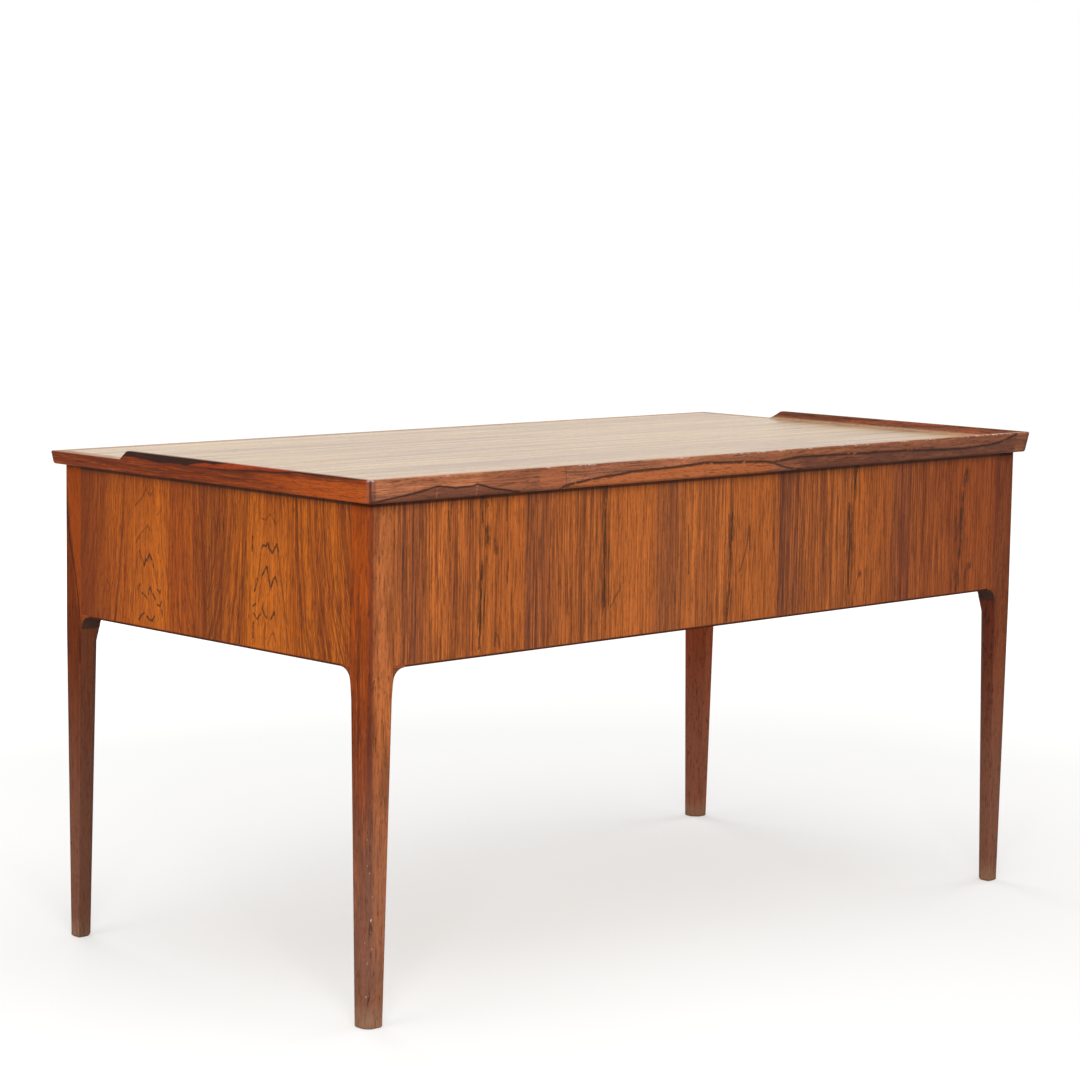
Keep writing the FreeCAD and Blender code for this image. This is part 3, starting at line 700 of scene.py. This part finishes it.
def make_nearest():
    """The distance from a point to a short straight line, or the distance so far where that is less."""
    group, given, made = new_group("nearest_line", {"Place": origin, "Start": origin, "End": (0.0, 0.0, 1.0),
                                                    "So Far": 1.0}, {"Distance": 0.0})

    def vector(operation, inputs, output=0):
        return join("ShaderNodeVectorMath", inputs, operation=operation).outputs[output]

    away = vector("SUBTRACT", {0: given["Place"], 1: given["Start"]})
    line = vector("SUBTRACT", {0: given["End"], 1: given["Start"]})
    share = calc("DIVIDE", vector("DOT_PRODUCT", {0: away, 1: line}, "Value"),
                 vector("DOT_PRODUCT", {0: line, 1: line}, "Value"))
    share = join("ShaderNodeClamp", {"Value": share}).outputs[0]
    foot = vector("SCALE", {0: line, "Scale": share})
    distance = vector("LENGTH", {0: vector("SUBTRACT", {0: away, 1: foot})}, "Value")
    feed(made, {"Distance": calc("MINIMUM", distance, given["So Far"])})
    return group


nearest_line = make_nearest()


def drawn(place, strokes, width, core=0.35):
    """1 on drawn lines, falling to 0 at their half width. A place has its run in X and its height in Z."""
    distance = 1.0
    for stroke in strokes:
        for (run, z), (next_run, next_z) in zip(stroke, stroke[1:]):
            distance = place_group(nearest_line, {"Place": place, "Start": (run, 0, z),
                                                  "End": (next_run, 0, next_z), "So Far": distance})[0]
    return rise(distance, width, width * core)


def sketch_place(here, run, z, reach):
    """The run and the height as one place, shifted a little so that lines drawn on it look grown."""
    run = plus(run, ragged(here, (0.006, 0.006, 0.008), reach))
    return join("ShaderNodeCombineXYZ", {"X": run, "Z": z}).outputs[0]


def heart_marks(here, colour):
    """This leg was cut beside the heart: a dark line runs down its end face between brown and orange wood.
    Its other faces are darkened with painted shade.
    """
    y, z = axes(here)[1:]
    end_face = rise(facing(here, "X"), 0.7, 0.95)
    from_heart = minus(y, scaled(z, heart_lean, heart_y))
    orange = times(rise(from_heart, -0.001, 0.004), rise(z, 0.3, 0.44), end_face)
    line = drawn(sketch_place(here, y, z, 0.003), (heart_line,), 0.0026, 0.1)
    return stained(colour, (
        # Painted shade on the faces other than the end face.
        (scaled(end_face, -0.5, 0.5), (78, 50, 42)),
        (orange, 0.42, (190, 88, 30)),
        (line, end_face, 0.8, ink)))


def swirl_marks(here, colour):
    """Black flecks lie thick on this leg's inner face."""
    z, inner_face = axes(here)["Z"], rise(facing(here, "X"), 0.3, 0.8)
    swirls = times(inner_face, patches(here, (0.012, 0.006, 0.02), 0.54, 0.62, 3.0, 0.6), rise(z, 0.1, 0.34))
    return stained(colour, (
        (inner_face, rise(z, 0.16, 0.42), 0.4, (84, 44, 38)),
        (swirls, 0.55, ink)))


def deeper_top(here, colour):
    """The plainest leg, a deeper brown towards the top."""
    return stained(colour, ((rise(axes(here)["Z"], 0.34, 0.47), 0.4, (92, 46, 32)),))


def leg_figure(tone=(0, 0, 0), share=0.0, marks=None):
    """The figure of one leg: the colours of every leg, a tone of its own, and marks of its own."""
    def figure(here, colour, lines):
        colour = place_group(leg_colours, {"Place": here, "Colour": colour, "Lines": lines,
                                           "Tone": paint(*tone), "Tone Share": share})["Colour"]
        # Painted shade and a painted shadow line under the moulding.
        colour = with_painted_shade_line(colour, axes(here)["Z"])
        return marks(here, colour) if marks else colour
    return figure


legs = {
    "leg_back_right": leg_figure(),
    "leg_front_right": leg_figure((92, 42, 24), 0.64, heart_marks),
    "leg_back_left": leg_figure((106, 52, 37), 0.68, swirl_marks),
    "leg_front_left": leg_figure((176, 80, 48), 0.66, deeper_top)}
for leg, figure in legs.items():
    dress(wood("rosewood_" + leg, "Z", back_face_tan, back_face_brown, figure, cover=0.1, pore_depth=0.4,
               shine=(0.64, 0.8), specular=0.03, edge_width=0.003), leg)


# The back panel: five leaves of rosewood veneer slipped side by side with the grain upright, so each leaf
# repeats the last: a purple-brown edge, a brown field, an ink line and an orange band with a small knot.
# The marks drawn on it are strokes through places along the panel and heights.
leaf_width = 0.259
first_joint_x = 0.403
first_leaf_trim = 0.027
orange_start = (0.135, 0.18)
purple_end = (0.066, 0.03)
leaf_orange = (218, 121, 54)
leaf_brown = (114, 60, 36)
leaf_ink = (50, 36, 24)
ink_lines = (
    ((0.4825, 0.696), (0.4822, 0.66)), ((0.4822, 0.602), (0.4836, 0.557), (0.485, 0.513), (0.4865, 0.49)),
    ((0.4735, 0.655), (0.4725, 0.632)), ((0.25, 0.69), (0.2505, 0.6), (0.2485, 0.527)),
    ((-0.0117, 0.643), (-0.01, 0.6), (-0.0087, 0.557), (-0.008, 0.52), (-0.004, 0.485)),
    ((-0.29, 0.696), (-0.284, 0.667), (-0.282, 0.65)),
    ((-0.272, 0.64), (-0.2745, 0.6), (-0.2757, 0.567), (-0.2747, 0.527), (-0.272, 0.485)),
    ((-0.557, 0.673), (-0.552, 0.653)), ((-0.549, 0.64), (-0.544, 0.6), (-0.5435, 0.555), (-0.537, 0.485)))
fine_lines = (
    ((0.5436, 0.68), (0.5405, 0.64)), ((0.475, 0.615), (0.4763, 0.56), (0.479, 0.525)),
    ((0.438, 0.69), (0.4375, 0.66)), ((0.4345, 0.604), (0.4355, 0.576)), ((0.2417, 0.62), (0.2415, 0.528)),
    ((-0.004, 0.64), (-0.007, 0.59)), ((0.0815, 0.63), (0.078, 0.56)), ((-0.532, 0.603), (-0.532, 0.565)),
    ((-0.281, 0.625), (-0.28, 0.57)))
smudges = (
    ((0.4715, 0.692), (0.471, 0.684)), ((0.473, 0.65), (0.4725, 0.636)), ((0.46, 0.632), (0.454, 0.62)),
    ((0.218, 0.55), (0.211, 0.553)), ((-0.011, 0.63), (-0.013, 0.605)), ((-0.276, 0.61), (-0.276, 0.575)),
    ((-0.302, 0.531), (-0.308, 0.532)), ((-0.555, 0.668), (-0.553, 0.655)),
    ((-0.545, 0.612), (-0.545, 0.575)), ((-0.567, 0.521), (-0.573, 0.521)))
knot_tails = (
    ((0.4575, 0.492), (0.4555, 0.509), (0.452, 0.505), (0.448, 0.488)),
    ((0.218, 0.549), (0.229, 0.537), (0.236, 0.526)),
    ((-0.03, 0.556), (-0.043, 0.586), (-0.0485, 0.62)), ((-0.0485, 0.62), (-0.0515, 0.585)),
    ((-0.3, 0.531), (-0.294, 0.519), (-0.289, 0.5)),
    ((-0.566, 0.521), (-0.5595, 0.512), (-0.557, 0.501)))


def strongest(marks):
    """The strongest of several marks at each place, each a mask and its strength."""
    inked = times(*marks[0])
    for mask, strength in marks[1:]:
        inked = calc("MAXIMUM", times(mask, strength), inked)
    return inked


def back_figure(here, colour, lines):
    """The repeating leaf, measured from each joint, with painted shade darkening the last leaves towards -X.
    """
    x, _, z = axes(here)
    from_joint = minus(first_joint_x, x)
    trimmed = times(calc("LESS_THAN", from_joint, 0.0), first_leaf_trim)
    across = minus(calc("FLOORED_MODULO", from_joint, leaf_width), trimmed)
    swayed = plus(across, ragged(here, (0.04, 0.04, 0.15), 0.016))
    orange = rise(swayed, *orange_start)
    purple = calc("MAXIMUM", rise(swayed, *purple_end), rise(across, 0.25, leaf_width))
    long_lines = times(patches(here, (0.0019, 0.0019, 0.16), 0.5, 0.62, 3.0, 0.6),
                       scaled(orange, -0.28, 0.52))
    place = sketch_place(here, x, z, 0.0035)
    halo = times(drawn(place, ink_lines, 0.011, 0.2), patches(here, (0.003, 0.003, 0.035), 0.46, 0.6))
    core = times(drawn(place, ink_lines, 0.0022), patches(here, (0.02,) * 3, 0.36, 0.52))
    smoke = times(drawn(place, smudges, 0.01, 0.1), patches(here, (0.006, 0.006, 0.012), 0.36, 0.6))
    inked = strongest((
        (halo, 0.66), (core, 0.86), (drawn(place, fine_lines, 0.0016), 0.65), (smoke, 0.68),
        (drawn(place, knot_tails, 0.0028, 0.1), 0.52)))
    colour = stained(colour, (
        (orange, 0.5, (186, 100, 42)),
        (purple, scaled(lines, 0.35, 0.35), (104, 60, 46)),
        (long_lines, (62, 34, 24)),
        (patches(here, (0.0021, 0.0021, 0.18), 0.56, 0.7), 0.45, (204, 106, 44)),
        (patches(here, (0.0018, 0.0018, 0.05), 0.54, 0.6, 1.0), 0.44, (60, 31, 20)),
        (near(x, 0.12, 0.3), 0.17, (214, 122, 60)),
        # Painted shade: the leaves darken towards -X, where the light falls off.
        (rise(x, -0.2, -0.62), 0.45, (120, 42, 20)),
        (inked, leaf_ink)))
    # Painted shade and a painted shadow line under the moulding.
    return with_painted_shade_line(colour, z)


dress(wood("rosewood_back_veneer", "Z", leaf_orange, leaf_brown, back_figure, cover=0.0, pore_depth=0.42,
           line_width=0.0024, line_length=0.16), "back_panel")


# The end panels: two leaves each, cut through the heart so that the grain rises in pointed arches, with
# a dark joint zone between them. A few arches are inked and break into zigzags at their tips. The marks
# are drawn as on the back panel.
arch_centres = (-0.141, 0.132)
arch_joint = -0.004
joint_middle, joint_reach = -0.002, 0.06
panel_high = 0.7
panel_drop = 0.22
panel_orange = (214, 115, 28)
panel_brown = (138, 61, 18)
inked_arches = (
    ((-0.16, 0.588), (-0.149, 0.568), (-0.145, 0.578), (-0.142, 0.576), (-0.137, 0.586), (-0.13, 0.578),
     (-0.127, 0.569)),
    ((0.114, 0.618), (0.118, 0.623), (0.123, 0.622), (0.128, 0.627), (0.13, 0.62), (0.137, 0.614),
     (0.147, 0.627), (0.15, 0.618)),
    ((0.116, 0.582), (0.126, 0.595), (0.13, 0.58), (0.134, 0.564), (0.138, 0.576), (0.144, 0.583),
     (0.148, 0.572)),
    ((0.095, 0.633), (0.094, 0.613)), ((0.097, 0.516), (0.097, 0.495)),
    ((-0.161, 0.49), (-0.155, 0.498), (-0.148, 0.501)),
    ((-0.143, 0.497), (-0.136, 0.493), (-0.13, 0.492), (-0.125, 0.499)), ((0.106, 0.576), (0.1, 0.559)))
ink_specks = (
    ((-0.159, 0.541), (-0.163, 0.534)), ((-0.154, 0.529), (-0.148, 0.527), (-0.141, 0.522)),
    ((-0.139, 0.529), (-0.136, 0.54), (-0.131, 0.532), (-0.123, 0.524)),
    ((-0.118, 0.538), (-0.112, 0.533), (-0.111, 0.537)), ((-0.118, 0.516), (-0.112, 0.515), (-0.108, 0.522)),
    ((-0.108, 0.51), (-0.106, 0.499)), ((0.097, 0.538), (0.102, 0.542)),
    ((0.098, 0.528), (0.106, 0.521), (0.113, 0.531)),
    ((0.118, 0.544), (0.117, 0.536), (0.12, 0.53), (0.126, 0.525)),
    ((0.135, 0.525), (0.142, 0.535), (0.142, 0.531)))
faint_arches = (
    ((-0.17, 0.652), (-0.159, 0.66), (-0.154, 0.664), (-0.145, 0.678), (-0.136, 0.668), (-0.13, 0.673)),
    ((-0.117, 0.643), (-0.109, 0.651)), ((-0.168, 0.6), (-0.156, 0.614), (-0.141, 0.626), (-0.135, 0.619)),
    ((-0.127, 0.569), (-0.124, 0.561), (-0.118, 0.543)), ((-0.165, 0.585), (-0.172, 0.545), (-0.178, 0.5)),
    ((0.114, 0.659), (0.123, 0.657), (0.13, 0.665), (0.134, 0.665), (0.144, 0.654)),
    ((0.15, 0.618), (0.153, 0.596), (0.159, 0.564), (0.166, 0.53), (0.172, 0.49)),
    ((0.114, 0.618), (0.111, 0.598), (0.106, 0.576)), ((0.116, 0.582), (0.113, 0.57), (0.108, 0.545)),
    ((0.128, 0.488), (0.135, 0.503), (0.14, 0.506), (0.145, 0.496)))
flank_lines = (
    ((-0.194, 0.697), (-0.197, 0.663), (-0.203, 0.589), (-0.21, 0.533), (-0.219, 0.48)),
    ((0.188, 0.697), (0.189, 0.609), (0.197, 0.553), (0.213, 0.48)),
    ((0.083, 0.697), (0.079, 0.6), (0.066, 0.48)))


def end_figure(here, colour, lines):
    """Faint rings, the level lines of a ridge over each leaf's middle, then inked arches and flank lines."""
    at = axes(here)
    y, z = outwards(at["Y"], at["X"]), at["Z"]
    in_right = calc("GREATER_THAN", y, arch_joint)
    centre = scaled(in_right, arch_centres[1] - arch_centres[0], arch_centres[0])
    off = calc("ABSOLUTE", minus(y, centre))
    fallen = calc("DIVIDE", minus(panel_high, z), panel_drop)
    spread = scaled(times(fallen, fallen), 0.4, 1.0)
    arch = times(rise(off, 0.075, 0.01), fallen, -0.045)
    lean = plus(calc("DIVIDE", off, spread), arch)
    rings = plus(lean, ragged(here, (0.05, 0.05, 0.1), 0.012))
    ring_place = join("ShaderNodeCombineXYZ", {"X": rings, "Y": in_right, "Z": times(z, 0.02)}).outputs[0]
    to_edge = rise(off, 0.03, 0.11)
    ring_lines = times(patches(ring_place, (0.003, 1.0, 0.02), 0.47, 0.61, 3.0, 0.6),
                       scaled(to_edge, 0.33, 0.38))
    heart = times(rise(off, 0.06, 0.015), rise(z, 0.7, 0.62))
    joint = times(near(y, joint_middle, joint_reach), scaled(lines, 0.45, 0.24))
    place = sketch_place(here, y, z, 0.0025)
    broken = scaled(patches(here, (0.004, 0.004, 0.006), 0.3, 0.55), 0.6, 0.4)
    strong = times(drawn(place, inked_arches, 0.0026, 0.1), broken)
    specks = times(drawn(place, ink_specks, 0.0022), patches(here, (0.005,) * 3, 0.3, 0.48))
    faint = times(drawn(place, faint_arches, 0.0022, 0.1), broken)
    inked = strongest((
        (strong, 0.95), (specks, 0.8), (faint, 0.55), (drawn(place, flank_lines, 0.0042, 0.1), 0.4)))
    colour = stained(colour, (
        (ring_lines, (92, 40, 16)),
        (patches(ring_place, (0.0016, 1.0, 0.0006), 0.54, 0.6, 1.0), 0.46, (64, 27, 12)),
        (heart, 0.3, (222, 122, 40)),
        (to_edge, 0.3, (132, 62, 26)),
        (rise(y, -0.2, -0.3), 0.7, (86, 34, 10)),
        (scaled(in_right, -0.22, 0.22), (150, 58, 14)),
        (joint, (88, 40, 20)),
        (inked, (52, 34, 20))))
    # Painted shade and a painted shadow line under the moulding.
    return with_painted_shade_line(colour, z)


dress(wood("rosewood_end_veneer", "Z", panel_orange, panel_brown, end_figure, pore=(58, 30, 14), cover=0.0,
           line_width=0.0022, pore_depth=0.5), "end_panel_right", "end_panel_left")


# Lippings, rails and the eight glued corner blocks: solid rosewood strips and blocks, oiled like the legs.
# The lippings match the veneer above them and are darker along the lower edge, up to the blocks. The
# blocks' curved faces show end grain, which has drunk the oil and gone dark.
strip_light, strip_dark = (118, 52, 26), (80, 36, 22)
lipping_low, lipping_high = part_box("back_panel_lipping")
end_low, end_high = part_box("end_panel_lipping_right")
block_length = 0.019
block_rounding = 0.0035
dark_edge_top = (0.0034, 0.0014)
lipping_finish = {"cover": 0.0, "shine": (0.6, 0.8), "specular": 0.03}


def make_dark_edge():
    """The lower edge of a lipping, dark where it is free of the blocks."""
    group, given, made = new_group("dark_lower_edge", {"Colour": unset, "Height": 0.0, "Free": 1.0},
                                   {"Colour": unset})
    low = rise(given["Height"], *(lipping_low.z + height for height in dark_edge_top))
    feed(made, {"Colour": stained(given["Colour"], ((low, given["Free"], 0.88, (44, 26, 20)),))})
    return group


dark_edge = make_dark_edge()


def lipping_figure(axis, first, last):
    """The figure of a lipping that runs from first to last along an axis."""
    def figure(here, colour, lines):
        at = axes(here)
        free = between(at[axis], first + block_length, last - block_length, 0.003)
        return place_group(dark_edge, {"Colour": colour, "Height": at["Z"], "Free": free})["Colour"]
    return figure


def block_figure(here, colour, lines):
    """Dark end grain on the curved faces and a darker line along their edges."""
    at, direction = axes(here), softened(here, block_rounding)
    inward = [outwards(direction[axis], at[axis]) for axis in ("X", "Y")]
    free = calc("MINIMUM", calc("MINIMUM", direction["Z"], inward[0]), inward[1])
    return stained(colour, (
        (rise(free, -0.06, -0.3), 0.85, (44, 27, 22)),
        (rise(facing(here, "Z", "True Normal"), -0.02, -0.09), 0.9, (70, 52, 44))))


dress(wood("rosewood_strip_long", "X", strip_light, strip_dark, cover=0.3),
      "front_top_rail", "bank_rail_left", "bank_rail_right")
dress(wood("rosewood_strip_upright", "Z", strip_light, strip_dark, cover=0.3), "partition_lippings")
dress(wood("rosewood_lipping_back", "X", (156, 84, 46), (112, 60, 38),
           lipping_figure("X", lipping_low.x, lipping_high.x), **lipping_finish), "back_panel_lipping")
dress(wood("rosewood_lipping_end", "Y", (160, 76, 34), (116, 54, 26),
           lipping_figure("Y", end_low.y, end_high.y), **lipping_finish),
      "end_panel_lipping_left", "end_panel_lipping_right")
dress(wood("rosewood_block", "Z", (152, 82, 48), (112, 62, 38), block_figure, **lipping_finish),
      "corner_brackets")


# The partitions beside the knee space: boards faced with rosewood veneer, its grain upright and plainer than
# outside. They are tongued into the back and carry the runners, and a solid lipping covers their front edge.
dress(wood("rosewood_partition", "Z", (158, 80, 36), (112, 56, 30), cover=0.1),
      "partition_left", "partition_right")


# The inner carcass: cleats under the top and runners for the drawers, both of oak, planed and left bare.
# A thin plywood bottom closes each bank from below, held in grooves.
oak = {"pore": (116, 86, 54), "worn": (214, 188, 150), "shine": (0.5, 0.65), "specular": 0.3,
       "pore_depth": 0.35}
plywood = {**oak, "line_width": 0.006, "line_length": 0.3}
dress(wood("bare_oak_deep", "Y", (196, 158, 110), (160, 120, 76), **oak),
      "runners_left", "runners_right", "runners_centre", "top_cleats")
dress(wood("bottom_plywood", "X", (202, 168, 120), (176, 138, 92), **plywood),
      "bank_bottom_left", "bank_bottom_right")


# The screws that hold the top: small round-headed steel screws driven up through the cleats, each head a
# low dome with a filed slot. Their heads lie against the underside of the cleats, dulled by age.
head_radius = 0.0038
head_rise = 0.0018
head_outline = (0.0, 0.35, 0.7, 1.05, 1.35, math.pi / 2)
head_steps = 24
slot_width = 0.001
slot_depth = 0.0008
rim_depth = 0.0003
screw_inset = 0.01
screw_turn = math.radians(37)
cleat_low, cleat_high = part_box("top_cleats")
end_row_x = cleat_high.x - screw_inset
back_row_y = cleat_high.y - screw_inset
screw_places = [(x, back_row_y) for x in (-0.22, -0.08, 0.08, 0.22)]
screw_places += [(side * end_row_x, y) for side in (-1, 1) for y in (-0.22, 0.0, 0.22)]


def in_fixed_order(mesh):
    """A mesh's corners and faces, ordered by their places: the operators leave another order each run."""
    outlines = {face: sorted(tuple(corner.co) for corner in face.verts) for face in mesh.faces}
    corners = sorted(mesh.verts, key=lambda corner: (
        tuple(corner.co), sorted(outlines[face] for face in corner.link_faces)))
    number = {corner: index for index, corner in enumerate(corners)}
    faces = []
    for face in mesh.faces:
        ring = [number[corner] for corner in face.verts]
        first = ring.index(min(ring))
        faces.append(ring[first:] + ring[:first])
    return [corner.co.copy() for corner in corners], sorted(faces)


def make_screw_head():
    """A domed head that hangs below the origin: a turned profile with a flat-bottomed slot cut across it."""
    head = bmesh.new()
    outline = [(0.0, 0.0)] + [(math.cos(angle), math.sin(angle)) for angle in head_outline]
    profile = [head.verts.new((head_radius * out, 0.0, -head_rise * down)) for out, down in outline]
    edges = [head.edges.new(pair) for pair in zip(profile, profile[1:])]
    bmesh.ops.spin(head, geom=profile + edges, cent=(0, 0, 0), axis=(0, 0, 1), angle=2 * math.pi,
                   steps=head_steps, use_merge=True)
    bmesh.ops.remove_doubles(head, verts=head.verts[:], dist=0.00002)
    for side in (-1, 1):
        bmesh.ops.bisect_plane(head, geom=head.verts[:] + head.edges[:] + head.faces[:], dist=0.000001,
                               plane_co=(0, side * slot_width / 2, 0), plane_no=(0, 1, 0))
    band = [face for face in head.faces if abs(face.calc_center_median().y) < slot_width / 2
            and face.calc_center_median().z < -rim_depth]
    for item in bmesh.ops.extrude_face_region(head, geom=band)["geom"]:
        if isinstance(item, bmesh.types.BMVert):
            item.co.z = max(item.co.z, slot_depth - head_rise)
    bmesh.ops.recalc_face_normals(head, faces=head.faces[:])
    points, faces = in_fixed_order(head)
    head.free()
    return points, faces


steel, steel_shader, steel_here = new_material("aged_steel")
tarnish = patches(steel_here, (0.002,) * 3, 0.42, 0.62, 3.0)
feed(steel_shader, {"Base Color": blend(tarnish, paint(168, 164, 156), paint(110, 96, 82)),
                    "Roughness": scaled(tarnish, 0.3, 0.35), "Metallic": 0.9})
head_points, head_faces = make_screw_head()
heads = bmesh.new()
for index, (screw_x, screw_y) in enumerate(screw_places):
    turned = Matrix.Translation((screw_x, screw_y, cleat_low.z)) @ Matrix.Rotation(screw_turn * index, 4, "Z")
    corners = [heads.verts.new(turned @ point) for point in head_points]
    for face in head_faces:
        heads.faces.new([corners[number] for number in face])
screws = add_object("cleat_screws", bpy.data.meshes.new("cleat_screws"))
heads.to_mesh(screws.data)
heads.free()
screws.data.materials.append(steel)
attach(screws, "carcass")


# The drawers: rosewood fronts with the grain running across, oak sides and backs dovetailed to them,
# plywood bottoms, and carved solid rosewood pulls let into the fronts.
drawer_oak = ((200, 162, 112), (168, 128, 82))
drawer_parts = {
    ("front",): wood("rosewood_front_veneer", "X", (172, 88, 36), (116, 58, 30), line_width=0.004,
                     line_length=0.2, cover=0.1),
    ("pull",): wood("rosewood_pull", "X", (142, 68, 32), (92, 44, 24), cover=0.3),
    ("side_left", "side_right"): wood("drawer_side_oak", "Y", *drawer_oak, **oak),
    ("back",): wood("drawer_back_oak", "X", *drawer_oak, **oak),
    ("bottom",): wood("drawer_plywood", "X", (204, 172, 124), (182, 146, 98), **plywood)}
for drawer in [name for name in frame["bodies"] if name.startswith("drawer_")]:
    for parts, finish in drawer_parts.items():
        dress(finish, *(drawer + "_" + part for part in parts))
